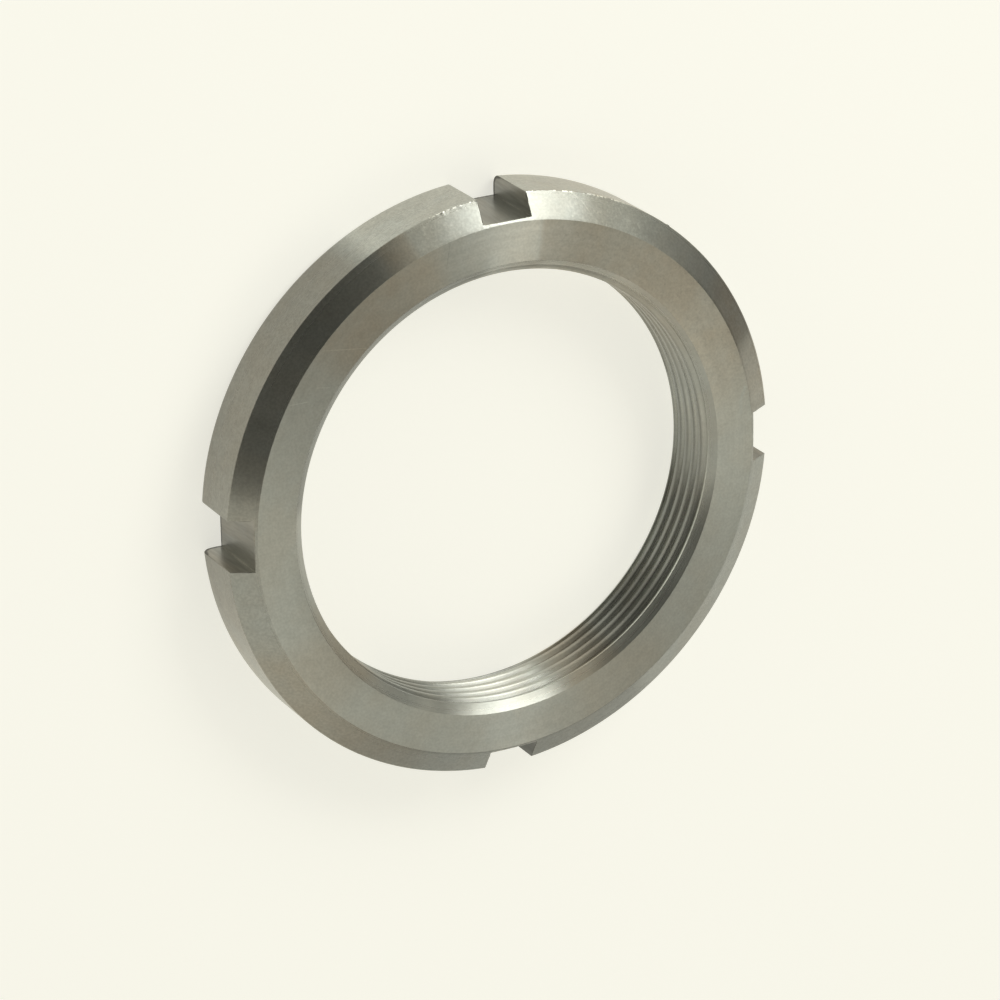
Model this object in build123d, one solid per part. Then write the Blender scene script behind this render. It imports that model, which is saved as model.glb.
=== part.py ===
from build123d import *

import os
from math import ceil, radians, tan

# Bearing lock nut: a turned steel ring with a fine internal thread, milled spanner slots
# and a wide chamfer round the face that seats on the lock washer.
# Millimetres. The nut lies on its back face, the thread's axis is +Z, the seating face
# looks up, and the origin is the centre of the back face.

# Ring: its wall is measured from the thread's root to the outside
ring_wall = 11.0
ring_width = 12.0
back_edge_radius = 1.6

# Chamfer round the seating face: its radial width, and its angle from that face
chamfer_width = 3.85
chamfer_angle = 30.0

# Spanner slots, milled straight through with a flat floor
slot_count = 4
slot_width = 8.0
slot_depth = 3.5

# Right-hand metric thread. The share of the pitch that the groove is deep leaves the
# widest hole that the medium tolerance allows, and the root keeps a flat of an eighth.
thread_diameter = 70.0
thread_pitch = 2.0
thread_depth_share = 0.45
thread_root_share = 0.125
thread_flank_angle = 30.0
thread_start_angle = -97.0

# Countersink at each end of the thread: how far it is wider than the thread all round,
# and its angle from the axis
countersink_margin = 0.95
countersink_angle = 45.0

# How far the thread tool stands clear of the bore
tool_clearance = 0.2

thread_radius = thread_diameter / 2
outer_radius = thread_radius + ring_wall
bore_radius = thread_radius - thread_depth_share * thread_pitch
countersink_radius = thread_radius + countersink_margin


def rise(run, angle):
    """Height gained over this run by a slope of this angle."""
    return run * tan(radians(angle))


def turned_blank():
    """The plain ring, turned about the thread's axis."""
    chamfer_height = rise(chamfer_width, chamfer_angle)
    countersink_height = (countersink_radius - bore_radius) / rise(1, countersink_angle)
    back_edge_start = (outer_radius - back_edge_radius, 0)
    back_edge_end = (outer_radius, back_edge_radius)
    back_edge = RadiusArc(back_edge_start, back_edge_end, -back_edge_radius)
    other_sides = Polyline(
        back_edge_end,
        (outer_radius, ring_width - chamfer_height),
        (outer_radius - chamfer_width, ring_width),
        (countersink_radius, ring_width),
        (bore_radius, ring_width - countersink_height),
        (bore_radius, countersink_height),
        (countersink_radius, 0),
        back_edge_start,
    )
    section = make_face(Plane.XZ * (back_edge + other_sides))
    return revolve(section, Axis.Z)


def thread_tool():
    """One turn of the thread's groove, reaching a little way into the open bore."""
    tool_radius = bore_radius - tool_clearance
    root = thread_root_share * thread_pitch / 2
    mouth = root + rise(thread_radius - tool_radius, thread_flank_angle)
    corners = (
        (tool_radius, -mouth),
        (tool_radius, mouth),
        (thread_radius, root),
        (thread_radius, -root),
    )
    helices = [Pos(Z=height) * Helix(thread_pitch, thread_pitch, radius) for radius, height in corners]
    neighbours = helices[1:] + helices[:1]
    sides = [Face.make_surface_from_curves(*pair) for pair in zip(helices, neighbours)]
    ends = [Face(Wire.make_polygon([helix @ end for helix in helices])) for end in (0, 1)]
    return Solid(Shell(sides + ends))


def thread_grooves():
    """Whole turns that follow one another from below the back face to past the front."""
    tool = Rot(Z=thread_start_angle) * thread_tool()
    turns_above = ceil(ring_width / thread_pitch) + 1
    return [Pos(Z=turn * thread_pitch) * tool for turn in range(-1, turns_above)]


def spanner_slots():
    """Blocks centred on the rim, so that each reaches one slot depth into it."""
    block = Pos(Z=ring_width / 2) * Box(2 * slot_depth, slot_width, 2 * ring_width)
    return [place * block for place in PolarLocations(outer_radius, slot_count)]


lock_nut = turned_blank() - thread_grooves() - spanner_slots()

os.makedirs("parts", exist_ok=True)
export_step(lock_nut, "parts/lock_nut.step")
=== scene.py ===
from math import cos, degrees, pi, radians, sin, sqrt, tan
from typing import NamedTuple

import bmesh
import bpy
import numpy as np
from bpy.props import FloatProperty, FloatVectorProperty, IntProperty, PointerProperty
from mathutils import Euler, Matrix, Quaternion, Vector, noise


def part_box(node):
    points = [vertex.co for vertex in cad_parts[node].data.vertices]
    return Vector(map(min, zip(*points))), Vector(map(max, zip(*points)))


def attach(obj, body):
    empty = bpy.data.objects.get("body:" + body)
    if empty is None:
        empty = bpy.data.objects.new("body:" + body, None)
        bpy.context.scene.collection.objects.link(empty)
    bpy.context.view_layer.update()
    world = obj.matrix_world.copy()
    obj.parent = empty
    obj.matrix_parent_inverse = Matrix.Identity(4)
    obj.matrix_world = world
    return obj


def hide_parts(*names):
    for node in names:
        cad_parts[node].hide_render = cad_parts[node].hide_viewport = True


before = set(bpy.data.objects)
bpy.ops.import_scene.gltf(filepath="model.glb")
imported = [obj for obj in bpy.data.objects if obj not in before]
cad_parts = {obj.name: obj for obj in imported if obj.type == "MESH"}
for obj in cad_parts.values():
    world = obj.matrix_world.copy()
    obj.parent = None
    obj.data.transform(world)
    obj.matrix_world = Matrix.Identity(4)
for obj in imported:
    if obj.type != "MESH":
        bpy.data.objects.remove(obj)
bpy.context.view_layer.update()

bl_info = {
    "name": "Bearing lock nut",
    "version": (1, 0, 0),
    "blender": (4, 5, 0),
    "location": "3D View > Sidebar > Lock nut",
    "description": "Turned steel lock nut with a fine thread and four milled spanner slots",
    "category": "Add Mesh",
}

# The nut lies on its back face on the floor, its thread's axis is Z, and two of its slots
# are on X. Everything is in metres.
MM = 0.001
QUARTER_TURN = pi / 2
FULL_TURN = 2 * pi
SLOT_COUNT = 4
NUT_NODE = "lock_nut"
NUT_LOW, NUT_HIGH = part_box(NUT_NODE)

# Faces of the nut by how they were cut; the numbers are its material slots
FACED, CHAMFERED, GROUND, MILLED, THREADED = range(5)

# Where the rim's front edge carries a burr, and the one spur that stands out of it: degrees
# round from X, with how far each runs to either side. The burr's torn metal is coarser than
# the chamfer by the first share, and has painted glints in spots, brighter by the second
BURR_MIDDLE, BURR_EVEN, BURR_WHOLE = 84, 17, 24
BURR_COARSER, BURR_BRIGHTER = 1.5, 1.6
SPUR_PLACE, SPUR_REACH = 52, 0.3

# A small dent in the front edge of the wall of the slot on Y, and how far it goes in
DENT_PLACE, DENT_REACH, DENT_DEPTH = Vector((4, 45, 10.2)) * MM, 0.5 * MM, 0.2 * MM

# How long an edge's nicks and its more or less nicked stretches are, the share of their depth
# that the nicks of a stretch have: in the middle, how far it varies and at least, and where in
# the noise the moves along X, Y and Z are found. The rim's front edge is calmer beside its
# burr, and the edges by the burr's slot are rougher
NICK_LENGTH, STRETCH_LENGTH = 0.25 * MM, 1.9 * MM
NICKED_MIDDLE, NICKED_VARIES, NICKED_LEAST = 0.8, 2.4, 0.25
NICK_SHIFTS = (0, 40, 80)
CALM_SHARE, ROUGH_SHARE = 0.4, 2

# How near a point is to the rim's front edge to lie on it, and how near points are to be one
ON_EDGE, WELDED = 0.01 * MM, 0.002 * MM

# Angles from which an edge is broken a little and in full, and the share of a little
SHALLOW_EDGE, SHARP_EDGE, LITTLE = radians(25), radians(50), 0.3

# Angle from which an edge is shaded sharp, and the weight by which only large faces set the
# direction of the shading round them
SHARP_SHADING, LARGE_FACES_ONLY = radians(35), 100

# Mesh rows across the faces, the chamfer, the rim, its rounded back edge and a slot's wall,
# points across what the slots leave of the back face outside their floors, and the steps round
# a broken edge
FACE_ROWS, CHAMFER_ROWS, RIM_ROWS, ROUND_ROWS, WALL_ROWS = 4, 6, 7, 8, 5
OUTER_BACK_ROWS, BREAK_STEPS = 3, 3


class LockNutSizes(bpy.types.PropertyGroup):
    """Sizes of the nut."""

    thread_diameter: FloatProperty(
        name="Thread diameter", description="Across the thread's roots", default=70 * MM, unit="LENGTH")
    thread_pitch: FloatProperty(
        name="Thread pitch", description="Rise of the thread in one turn", default=2 * MM, unit="LENGTH")
    thread_depth_share: FloatProperty(
        name="Thread depth", description="Depth of the groove as a share of the pitch", default=0.45)
    thread_root_share: FloatProperty(
        name="Root flat", description="Flat at the groove's root as a share of the pitch", default=0.125)
    thread_flank: FloatProperty(
        name="Flank angle", description="Of each flank from square to the axis",
        default=radians(30), subtype="ANGLE")
    thread_start: FloatProperty(
        name="Thread start", description="Where a groove's middle passes the back face",
        default=radians(-97), subtype="ANGLE")
    crest_break: FloatProperty(
        name="Crest rounding", description="How far the crest's corners are rounded",
        default=0.16 * MM, unit="LENGTH")
    countersink_margin: FloatProperty(
        name="Countersink margin", description="How far each countersink is wider than the thread",
        default=0.95 * MM, unit="LENGTH")
    countersink_angle: FloatProperty(
        name="Countersink angle", description="Of each countersink from the axis", default=radians(45),
        subtype="ANGLE")
    ring_width: FloatProperty(
        name="Ring width", description="From the back face to the seating face",
        default=NUT_HIGH.z - NUT_LOW.z, unit="LENGTH")
    ring_wall: FloatProperty(
        name="Ring wall", description="From the thread's root to the rim", default=11 * MM, unit="LENGTH")
    chamfer_width: FloatProperty(
        name="Chamfer width", description="Of the chamfer round the seating face, along the radius",
        default=3.85 * MM, unit="LENGTH")
    chamfer_angle: FloatProperty(
        name="Chamfer angle", description="Of the chamfer from the seating face",
        default=radians(30), subtype="ANGLE")
    back_edge_radius: FloatProperty(
        name="Back edge", description="Rounding of the rim's back edge", default=1.6 * MM, unit="LENGTH")
    slot_width: FloatProperty(
        name="Slot width", description="Of each spanner slot", default=8 * MM, unit="LENGTH")
    slot_depth: FloatProperty(
        name="Slot depth", description="From the rim to a slot's floor", default=3.5 * MM, unit="LENGTH")
    edge_break: FloatProperty(
        name="Edge break", description="How far each sharp edge is broken", default=0.1 * MM, unit="LENGTH")
    nick_depth: FloatProperty(
        name="Nicks", description="How far a cut edge strays from its true line", default=0.035 * MM,
        unit="LENGTH")
    burr_height: FloatProperty(
        name="Burr height", description="How far the burr stands out of the rim's front edge",
        default=0.13 * MM, unit="LENGTH")
    burr_reach: FloatProperty(
        name="Burr reach", description="How far nicks and burrs reach from an edge", default=0.18 * MM,
        unit="LENGTH")
    slot_columns: IntProperty(
        name="Slot columns", description="Mesh columns across a slot", default=28)
    rim_columns: IntProperty(
        name="Rim columns", description="Mesh columns from one slot to the next", default=248)


class LockNutFinish(bpy.types.PropertyGroup):
    """Colours and finish of the steel."""

    steel_colour: FloatVectorProperty(
        name="Steel", description="Colour that the clean steel reflects", subtype="COLOR",
        default=(0.425, 0.435, 0.402))
    stain_colour: FloatVectorProperty(
        name="Stain", description="Colour of the steel under dried oil", subtype="COLOR",
        default=(0.41, 0.372, 0.305))
    faced_roughness: FloatProperty(
        name="Faced roughness", description="Of the two flat faces", default=0.31, subtype="FACTOR")
    faced_stretch: FloatProperty(
        name="Faced stretch", description="How far the facing marks stretch a highlight", default=1.0,
        subtype="FACTOR")
    turned_roughness: FloatProperty(
        name="Turned roughness", description="Of the chamfer, the rim and the bore", default=0.28,
        subtype="FACTOR")
    turned_stretch: FloatProperty(
        name="Turned stretch", description="How far the turning marks stretch a highlight", default=0.9,
        subtype="FACTOR")
    milled_roughness: FloatProperty(
        name="Milled roughness", description="Of the slots' walls and floors", default=0.33, subtype="FACTOR")


class LockNutStage(bpy.types.PropertyGroup):
    """Floor, light and camera."""

    floor_colour: FloatVectorProperty(
        name="Floor", description="Colour of the floor", subtype="COLOR", default=(0.95, 0.94, 0.86))
    floor_radius: FloatProperty(
        name="Floor radius", description="Of the round floor", default=20.0, unit="LENGTH")
    floor_glow: FloatProperty(
        name="Floor glow", description="Share of the floor's own colour that is seen in any light",
        default=0.70, subtype="FACTOR")
    floor_matt: FloatProperty(
        name="Floor matt", description="Share of the floor's own colour that the light on it brings out",
        default=0.52, subtype="FACTOR")
    backdrop_level: FloatProperty(
        name="Backdrop level", description="Brightness of the backdrop round the floor's far edge",
        default=0.92, subtype="FACTOR")
    room_colour: FloatVectorProperty(
        name="Room", description="Colour of the light from the room", subtype="COLOR",
        default=(1.0, 0.98, 0.86))
    room_level: FloatProperty(
        name="Room level", description="Brightness of the room round the nut", default=0.58)
    key_colour: FloatVectorProperty(
        name="Soft box", description="Colour of the soft box", subtype="COLOR", default=(0.98, 0.99, 0.95))
    key_level: FloatProperty(
        name="Soft box level", description="Brightness of the soft box's face", default=3.9)
    key_distance: FloatProperty(
        name="Soft box distance", description="From the nut", default=0.9, unit="LENGTH")
    key_width: FloatProperty(
        name="Soft box width", description="Across its face", default=0.45, unit="LENGTH")
    key_height: FloatProperty(
        name="Soft box height", description="Up its face", default=0.42, unit="LENGTH")
    key_roll: FloatProperty(
        name="Soft box roll", description="How far it is turned about its own axis",
        default=radians(-29), subtype="ANGLE")
    lens: FloatProperty(
        name="Lens", description="Focal length on a 36 mm wide sensor, in millimetres", default=159.45)
    camera_place: FloatVectorProperty(
        name="Camera", description="Where the camera stands", subtype="TRANSLATION",
        default=(-0.29338, 0.25200, 0.54820))
    camera_tilt: FloatVectorProperty(
        name="Camera tilt", description="Turns about X, Y and Z that aim the camera", subtype="EULER",
        default=(radians(-22.134), radians(-28.804), radians(-0.8005)))


class Form:
    """The nut's measures, worked out from the sizes in the panel."""

    def __init__(self, sizes):
        self.sizes = sizes
        self.width = sizes.ring_width
        self.root_radius = sizes.thread_diameter / 2
        self.rim_radius = self.root_radius + sizes.ring_wall
        self.crest_radius = self.root_radius - sizes.thread_depth_share * sizes.thread_pitch
        self.mouth_radius = self.root_radius + sizes.countersink_margin
        self.face_radius = self.rim_radius - sizes.chamfer_width
        self.chamfer_slope = tan(sizes.chamfer_angle)
        self.floor_distance = self.rim_radius - sizes.slot_depth
        self.half_slot = sizes.slot_width / 2
        self.corner_radius = sqrt(self.floor_distance ** 2 + self.half_slot ** 2)

    def slot_angle(self, radius):
        """Half the angle that a slot takes up at this radius, or at its floor's corner below it."""
        return np.arcsin(self.half_slot / np.maximum(radius, self.corner_radius))

    def chamfer_height(self, radius):
        """Height of the chamfer, or of the seating face inside it."""
        return self.width - np.maximum(radius - self.face_radius, 0) * self.chamfer_slope

    def along_slot(self):
        """Shares of a slot wall's height from the outside to the floor, the first one thin for the nicks."""
        return np.append(0, np.linspace(self.sizes.burr_reach / self.sizes.slot_depth, 1, WALL_ROWS))

    def across_slot(self):
        """Angles of the columns across a slot, from its middle."""
        half = float(self.slot_angle(0))
        return np.linspace(-half, half, self.sizes.slot_columns + 1)

    def along_rim(self, radius):
        """Angles of the columns from one slot's wall to the next one's, one row for each radius."""
        start = self.slot_angle(np.asarray(radius))[:, None]
        thin = self.sizes.burr_reach / (QUARTER_TURN * self.rim_radius)
        inner = np.linspace(thin, 1 - thin, self.sizes.rim_columns - 1)
        share = np.concatenate([[0], inner, [1]])
        return start + share * (QUARTER_TURN - 2 * start)

    def round_ring(self):
        """Angles of all columns inside the slots' floors, and the radius where each meets the outside."""
        slot, rim = self.across_slot(), self.along_rim([0])[0]
        angles = [turn * QUARTER_TURN + part for turn in range(SLOT_COUNT) for part in (slot[:-1], rim[:-1])]
        ends = [self.floor_distance / np.cos(slot[:-1]), np.full(len(rim) - 1, self.corner_radius)]
        return np.concatenate(angles), np.concatenate(ends * SLOT_COUNT)


def polar(radius, angle, height):
    """Grid of points from radii, angles and heights, which may be numbers or arrays."""
    radius, angle, height = np.broadcast_arrays(radius, angle, height)
    return np.stack([radius * np.cos(angle), radius * np.sin(angle), height], axis=-1)


def turned_by(grid, angle):
    """The same points turned about the thread's axis."""
    x, y, z = np.moveaxis(grid, -1, 0)
    return np.stack([x * cos(angle) - y * sin(angle), x * sin(angle) + y * cos(angle), z], axis=-1)


class Patches:
    """Grids of points that are welded into one mesh."""

    def __init__(self):
        self.points, self.faces, self.finishes, self.count = [], [], [], 0

    def add(self, grid, finish, closed=False):
        """Adds a grid of rows of points; a closed one joins its last column to its first."""
        rows, columns = grid.shape[:2]
        number = self.count + np.arange(rows * columns).reshape(rows, columns)
        if closed:
            number = np.hstack([number, number[:, :1]])
        corners = [number[:-1, :-1], number[:-1, 1:], number[1:, 1:], number[1:, :-1]]
        faces = np.stack(corners, axis=-1).reshape(-1, 4)
        self.points.append(grid.reshape(-1, 3))
        self.faces.append(faces)
        self.finishes += [finish] * len(faces)
        self.count += rows * columns

    def mesh(self, name):
        """One mesh of all the grids, each face with its finish as its material index."""
        made = bpy.data.meshes.new(name)
        made.from_pydata(np.concatenate(self.points).tolist(), [], np.concatenate(self.faces).tolist())
        made.polygons.foreach_set("material_index", self.finishes)
        made.update()
        return made


def seating_face(form):
    """The flat ring that seats on the lock washer."""
    angles = form.round_ring()[0]
    radii = np.linspace(form.mouth_radius, form.face_radius, FACE_ROWS)[:, None]
    return polar(radii, angles, form.width)


def inner_chamfer(form):
    """The start of the chamfer, as far as the slots' floors."""
    angles, ends = form.round_ring()
    radii = np.array([np.full_like(ends, form.face_radius), ends])
    return polar(radii, angles, form.chamfer_height(radii))


def back_face(form):
    """The back face as far as the slots' floors."""
    angles, ends = form.round_ring()
    share = np.linspace(0, 1, FACE_ROWS)[:, None]
    return polar(form.mouth_radius + share * (ends - form.mouth_radius), angles, 0)


def rim_profile(form):
    """Radii and heights from the chamfer over the rim to the back face, outside the slots' floors.

    A thin row on either side of the chamfer's outer edge keeps its burr narrow.
    """
    rounding, reach = form.sizes.back_edge_radius, form.sizes.burr_reach
    chamfer = np.linspace(form.corner_radius, form.rim_radius - reach, CHAMFER_ROWS)
    chamfer = np.append(chamfer, form.rim_radius)
    rim = np.linspace(form.chamfer_height(form.rim_radius) - reach, rounding, RIM_ROWS)
    turn = np.linspace(0, QUARTER_TURN, ROUND_ROWS)[1:]
    centre = form.rim_radius - rounding
    back = np.linspace(centre, form.corner_radius, OUTER_BACK_ROWS)[1:]
    radii = [chamfer, np.full_like(rim, form.rim_radius), centre + rounding * np.cos(turn), back]
    heights = [form.chamfer_height(chamfer), rim, rounding - rounding * np.sin(turn), np.zeros_like(back)]
    return np.concatenate(radii), np.concatenate(heights)


def rim_parts(form):
    """The chamfer, and the rim with its rounded back edge, between two slots."""
    radii, heights = rim_profile(form)
    outside = polar(radii[:, None], form.along_rim(radii), heights[:, None])
    edge = int(np.argmax(radii))
    return outside[:edge + 1], outside[edge:]


def profile_shares(form):
    """How far along the rim's profile each of its points is, from 0 to 1."""
    radii, heights = rim_profile(form)
    steps = np.hypot(np.diff(radii), np.diff(heights))
    return np.concatenate([[0], np.cumsum(steps)]) / steps.sum()


def slot_wall(form, side):
    """One wall of the slot on X: flat, from the rim's profile down to the slot's floor."""
    radii, heights = rim_profile(form)
    outer = np.stack([np.sqrt(radii ** 2 - form.half_slot ** 2), heights], axis=-1)
    corner_height = (1 - profile_shares(form)) * heights[0]
    inner = np.stack([np.full_like(corner_height, form.floor_distance), corner_height], axis=-1)
    share = form.along_slot()[:, None, None]
    x, z = np.moveaxis(outer + share * (inner - outer), -1, 0)
    return np.stack([x, np.full_like(x, side * form.half_slot), z], axis=-1)


def slot_floor(form):
    """The flat floor of the slot on X."""
    y = form.floor_distance * np.tan(form.across_slot())
    top = form.chamfer_height(np.hypot(form.floor_distance, y))
    z = (1 - profile_shares(form))[:, None] * top
    x, y, z = np.broadcast_arrays(form.floor_distance, y, z)
    return np.stack([x, y, z], axis=-1)


def bore(form):
    """Countersinks and thread: each column is the section of the bore at its angle.

    A groove's four corners climb with the angle. Where a countersink is wider than the
    groove, the corners slide along it until they meet, so the groove runs out as a cut one does.
    """
    sizes = form.sizes
    angles = form.round_ring()[0]
    angles = np.append(angles, angles[0] + FULL_TURN)
    crest, root, mouth = form.crest_radius, form.root_radius, form.mouth_radius
    width = form.width
    half_root = sizes.thread_root_share * sizes.thread_pitch / 2
    flank = tan(sizes.thread_flank)
    lean = 1 / tan(sizes.countersink_angle)
    back_root, front_root = (mouth - root) * lean, width - (mouth - root) * lean
    back_crest, front_crest = (mouth - crest) * lean, width - (mouth - crest) * lean

    def flank_foot(middle, side):
        """Height where a flank comes out of the crest or of a countersink."""
        line = middle + side * (half_root + root * flank)
        at_front = (line - width + mouth * lean) / (lean + side * flank)
        at_back = (mouth * lean - line) / (lean - side * flank)
        foot = np.clip(np.maximum(at_front, at_back), crest, root)
        return np.clip(line - side * foot * flank, back_root, front_root)

    def wall_radius(height, middle):
        """Radius of the bore at this height: the groove or a countersink, whichever is wider."""
        groove = root - np.maximum(np.abs(height - middle) - half_root, 0) / flank
        nearer_end = np.minimum(height, width - height)
        return np.maximum(crest, np.maximum(groove, mouth - nearer_end / lean))

    climb = sizes.thread_pitch * (angles - sizes.thread_start) / FULL_TURN
    heights, radii = [np.zeros_like(angles)], [np.full_like(angles, mouth)]
    last = np.full_like(angles, back_root)
    # Grooves from one that passes below the back face to one that passes above the seating face
    for turn in range(-2, int(width / sizes.thread_pitch) + 3):
        middle = climb + turn * sizes.thread_pitch
        lower, upper = flank_foot(middle, -1), flank_foot(middle, 1)
        low_root = np.clip(middle - half_root, lower, upper)
        high_root = np.clip(middle + half_root, lower, upper)
        soft = np.minimum(sizes.crest_break, upper - lower)
        before = np.maximum(lower - soft, last)
        corners = [
            np.clip(back_crest, last, before),
            np.clip(front_crest, last, before),
            before,
            np.minimum(lower + soft / 2, low_root),
            low_root,
            high_root,
            np.maximum(upper - soft / 2, high_root),
            np.minimum(upper + soft, front_root),
        ]
        heights += corners
        radii += [wall_radius(height, middle) for height in corners]
        last = corners[-1]
    heights.append(np.full_like(angles, width))
    radii.append(np.full_like(angles, mouth))
    return polar(np.array(radii), angles, np.array(heights))


def nut_patches(form):
    """All surfaces of the nut, by how they were cut."""
    patches = Patches()
    patches.add(seating_face(form), FACED, closed=True)
    patches.add(inner_chamfer(form), CHAMFERED, closed=True)
    patches.add(back_face(form), FACED, closed=True)
    patches.add(bore(form), THREADED)
    chamfer, rim = rim_parts(form)
    for turn in range(SLOT_COUNT):
        angle = turn * QUARTER_TURN
        patches.add(turned_by(chamfer, angle), CHAMFERED)
        patches.add(turned_by(rim, angle), GROUND)
        patches.add(turned_by(slot_floor(form), angle), MILLED)
        for side in (-1, 1):
            patches.add(turned_by(slot_wall(form, side), angle), MILLED)
    return patches


def break_share(edge):
    """Share of the full edge break that an edge gets: little where it is shallow, none in the bore."""
    angle = edge.calc_face_angle_signed()
    if angle < SHALLOW_EDGE or all(face.material_index == THREADED for face in edge.link_faces):
        return 0.0
    return 1.0 if angle > SHARP_EDGE else LITTLE


def degrees_apart(place, azimuth):
    """Degrees round the axis between a point and an azimuth."""
    flat = Vector((place.x, place.y, 0))
    return degrees(flat.angle(Vector((cos(radians(azimuth)), sin(radians(azimuth)), 0))))


def stray(place, form):
    """How far a point of a sharp edge lies off its true line, by nicks and by the rim's burr."""
    sizes = form.sizes
    height, outwards = sizes.nick_depth, 0.0
    radius = sqrt(place.x ** 2 + place.y ** 2)
    if radius > form.rim_radius - ON_EDGE and place.z > form.chamfer_height(radius) - ON_EDGE:
        past = degrees_apart(place, BURR_MIDDLE) - BURR_EVEN
        share = 1 - min(max(past / (BURR_WHOLE - BURR_EVEN), 0), 1)
        height = CALM_SHARE * height + share * sizes.burr_height
        if degrees_apart(place, SPUR_PLACE) < SPUR_REACH:
            outwards = sizes.burr_height
    elif place.z > form.width / 2 and degrees_apart(place, BURR_MIDDLE) < BURR_EVEN:
        height *= ROUGH_SHARE
    nicked = max(NICKED_LEAST, NICKED_MIDDLE + NICKED_VARIES * noise.noise(place / STRETCH_LENGTH))
    finer = place / NICK_LENGTH
    along = [noise.noise(finer + Vector((0, 0, shift))) for shift in NICK_SHIFTS]
    jump = Vector(along) * height * nicked
    if (place - DENT_PLACE).length < DENT_REACH:
        jump.x += DENT_DEPTH
    return jump + Vector((place.x, place.y, 0)) * (outwards / radius)


def weld(mesh, form):
    """Welds the patches, turns their faces outwards and roughens the sharp outer edges."""
    shape = bmesh.new()
    shape.from_mesh(mesh)
    bmesh.ops.remove_doubles(shape, verts=shape.verts, dist=WELDED)
    bmesh.ops.recalc_face_normals(shape, faces=shape.faces)
    weight = shape.edges.layers.float.new("bevel_weight_edge")
    ragged = set()
    for edge in shape.edges:
        if len(edge.link_faces) != 2:
            raise RuntimeError("the nut's mesh is open at " + str(edge.verts[0].co[:]))
        edge[weight] = break_share(edge)
        if edge[weight] == 1.0:
            ragged.update(edge.verts)
    for vertex in sorted(ragged, key=lambda each: each.index):
        vertex.co += stray(vertex.co, form)
    for face in shape.faces:
        face.smooth = True
    shape.to_mesh(mesh)
    shape.free()


def keep_in_box(mesh):
    """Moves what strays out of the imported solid's box back to its sides."""
    for vertex in mesh.vertices:
        vertex.co = np.clip(vertex.co, NUT_LOW, NUT_HIGH)


def apply_modifiers(piece):
    """Replaces the piece's mesh by what its modifiers make of it."""
    graph = bpy.context.evaluated_depsgraph_get()
    made = bpy.data.meshes.new_from_object(piece.evaluated_get(graph), preserve_all_data_layers=True,
                                           depsgraph=graph)
    piece.modifiers.clear()
    piece.data = made


class Nodes:
    """A node tree with a short way to add nodes and to feed their sockets."""

    def __init__(self, tree):
        self.tree = tree
        tree.nodes.clear()

    def add(self, kind, inputs=None, **settings):
        made = self.tree.nodes.new(kind)
        for name, value in settings.items():
            setattr(made, name, value)
        for socket, value in (inputs or {}).items():
            if isinstance(value, bpy.types.NodeSocket):
                self.tree.links.new(value, made.inputs[socket])
            else:
                made.inputs[socket].default_value = value
        return made

    def math(self, operation, *values):
        return self.add("ShaderNodeMath", dict(enumerate(values)), operation=operation).outputs[0]

    def vector(self, operation, *values):
        return self.add("ShaderNodeVectorMath", dict(enumerate(values)), operation=operation).outputs[0]

    def measure(self, operation, *values):
        """A number that vectors give, such as a length."""
        return self.add("ShaderNodeVectorMath", dict(enumerate(values)), operation=operation).outputs["Value"]

    def joined(self, *parts):
        """A vector from its parts along X, Y and Z."""
        return self.add("ShaderNodeCombineXYZ", dict(enumerate(parts))).outputs[0]

    def noise(self, vector, scale, detail=2.0, roughness=0.5):
        inputs = {"Vector": vector, "Scale": scale, "Detail": detail, "Roughness": roughness}
        return self.add("ShaderNodeTexNoise", inputs).outputs["Fac"]

    def scaled(self, colour, share):
        inputs = {0: colour, "Scale": share}
        return self.add("ShaderNodeVectorMath", inputs, operation="SCALE").outputs[0]

    def bump(self, height, depth, normal=None):
        inputs = {"Height": height, "Distance": depth}
        if normal:
            inputs["Normal"] = normal
        return self.add("ShaderNodeBump", inputs).outputs[0]

    def blend(self, share, first, second):
        # The Mix node has its colours on inputs 6 and 7 and on output 2
        made = self.add("ShaderNodeMix", {0: share, 6: first, 7: second}, data_type="RGBA")
        return made.outputs[2]

    def ramp(self, value, low, high, out_low=0.0, out_high=1.0, kind="LINEAR"):
        inputs = {0: value, 1: low, 2: high, 3: out_low, 4: out_high}
        return self.add("ShaderNodeMapRange", inputs, interpolation_type=kind).outputs[0]

    def share(self, value, at_none, at_all, kind="LINEAR"):
        """A value that goes from one level to another while a share goes from 0 to 1."""
        return self.ramp(value, 0.0, 1.0, at_none, at_all, kind)

    def around(self, noise, middle, spread, reach=0.2):
        """A value that noise moves to both sides of its middle, all its spread at this reach from a half."""
        return self.ramp(noise, 0.5 - reach, 0.5 + reach, middle - spread, middle + spread)


def with_alpha(colour):
    return (*colour[:3], 1.0)


def new_material(name):
    material = bpy.data.materials.new(name)
    material.use_nodes = True
    return material, Nodes(material.node_tree)


def seen_directly(nodes):
    """1 for what the camera sees, also by way of a gloss or through glass, and 0 for what lights others."""
    ray = nodes.add("ShaderNodeLightPath").outputs
    through = nodes.math("MAXIMUM", ray["Is Glossy Ray"], ray["Is Transmission Ray"])
    return nodes.math("MAXIMUM", ray["Is Camera Ray"], through)


class Patch(NamedTuple):
    """A stretch of the ring, named as it is seen with the slot on Y at the top and X to the right.

    It runs from one azimuth to another, in degrees, and fades in and out inside them. Its level
    is a stain's strength, the share of light left by painted shade or brought by a painted sheen,
    or how much brighter specks or painted sparkle are.
    """

    name: str
    start: float
    end: float
    fade_in: float
    fade_out: float
    level: float


class Stroke(NamedTuple):
    """A straight scratch or wipe on the front, from one azimuth and radius to another.

    The azimuths are in degrees and the radii in millimetres. Its level is how much brighter a
    scratch is, or the share of the stain that a wipe leaves.
    """

    name: str
    azimuth: float
    radius: float
    end_azimuth: float
    end_radius: float
    level: float


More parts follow.
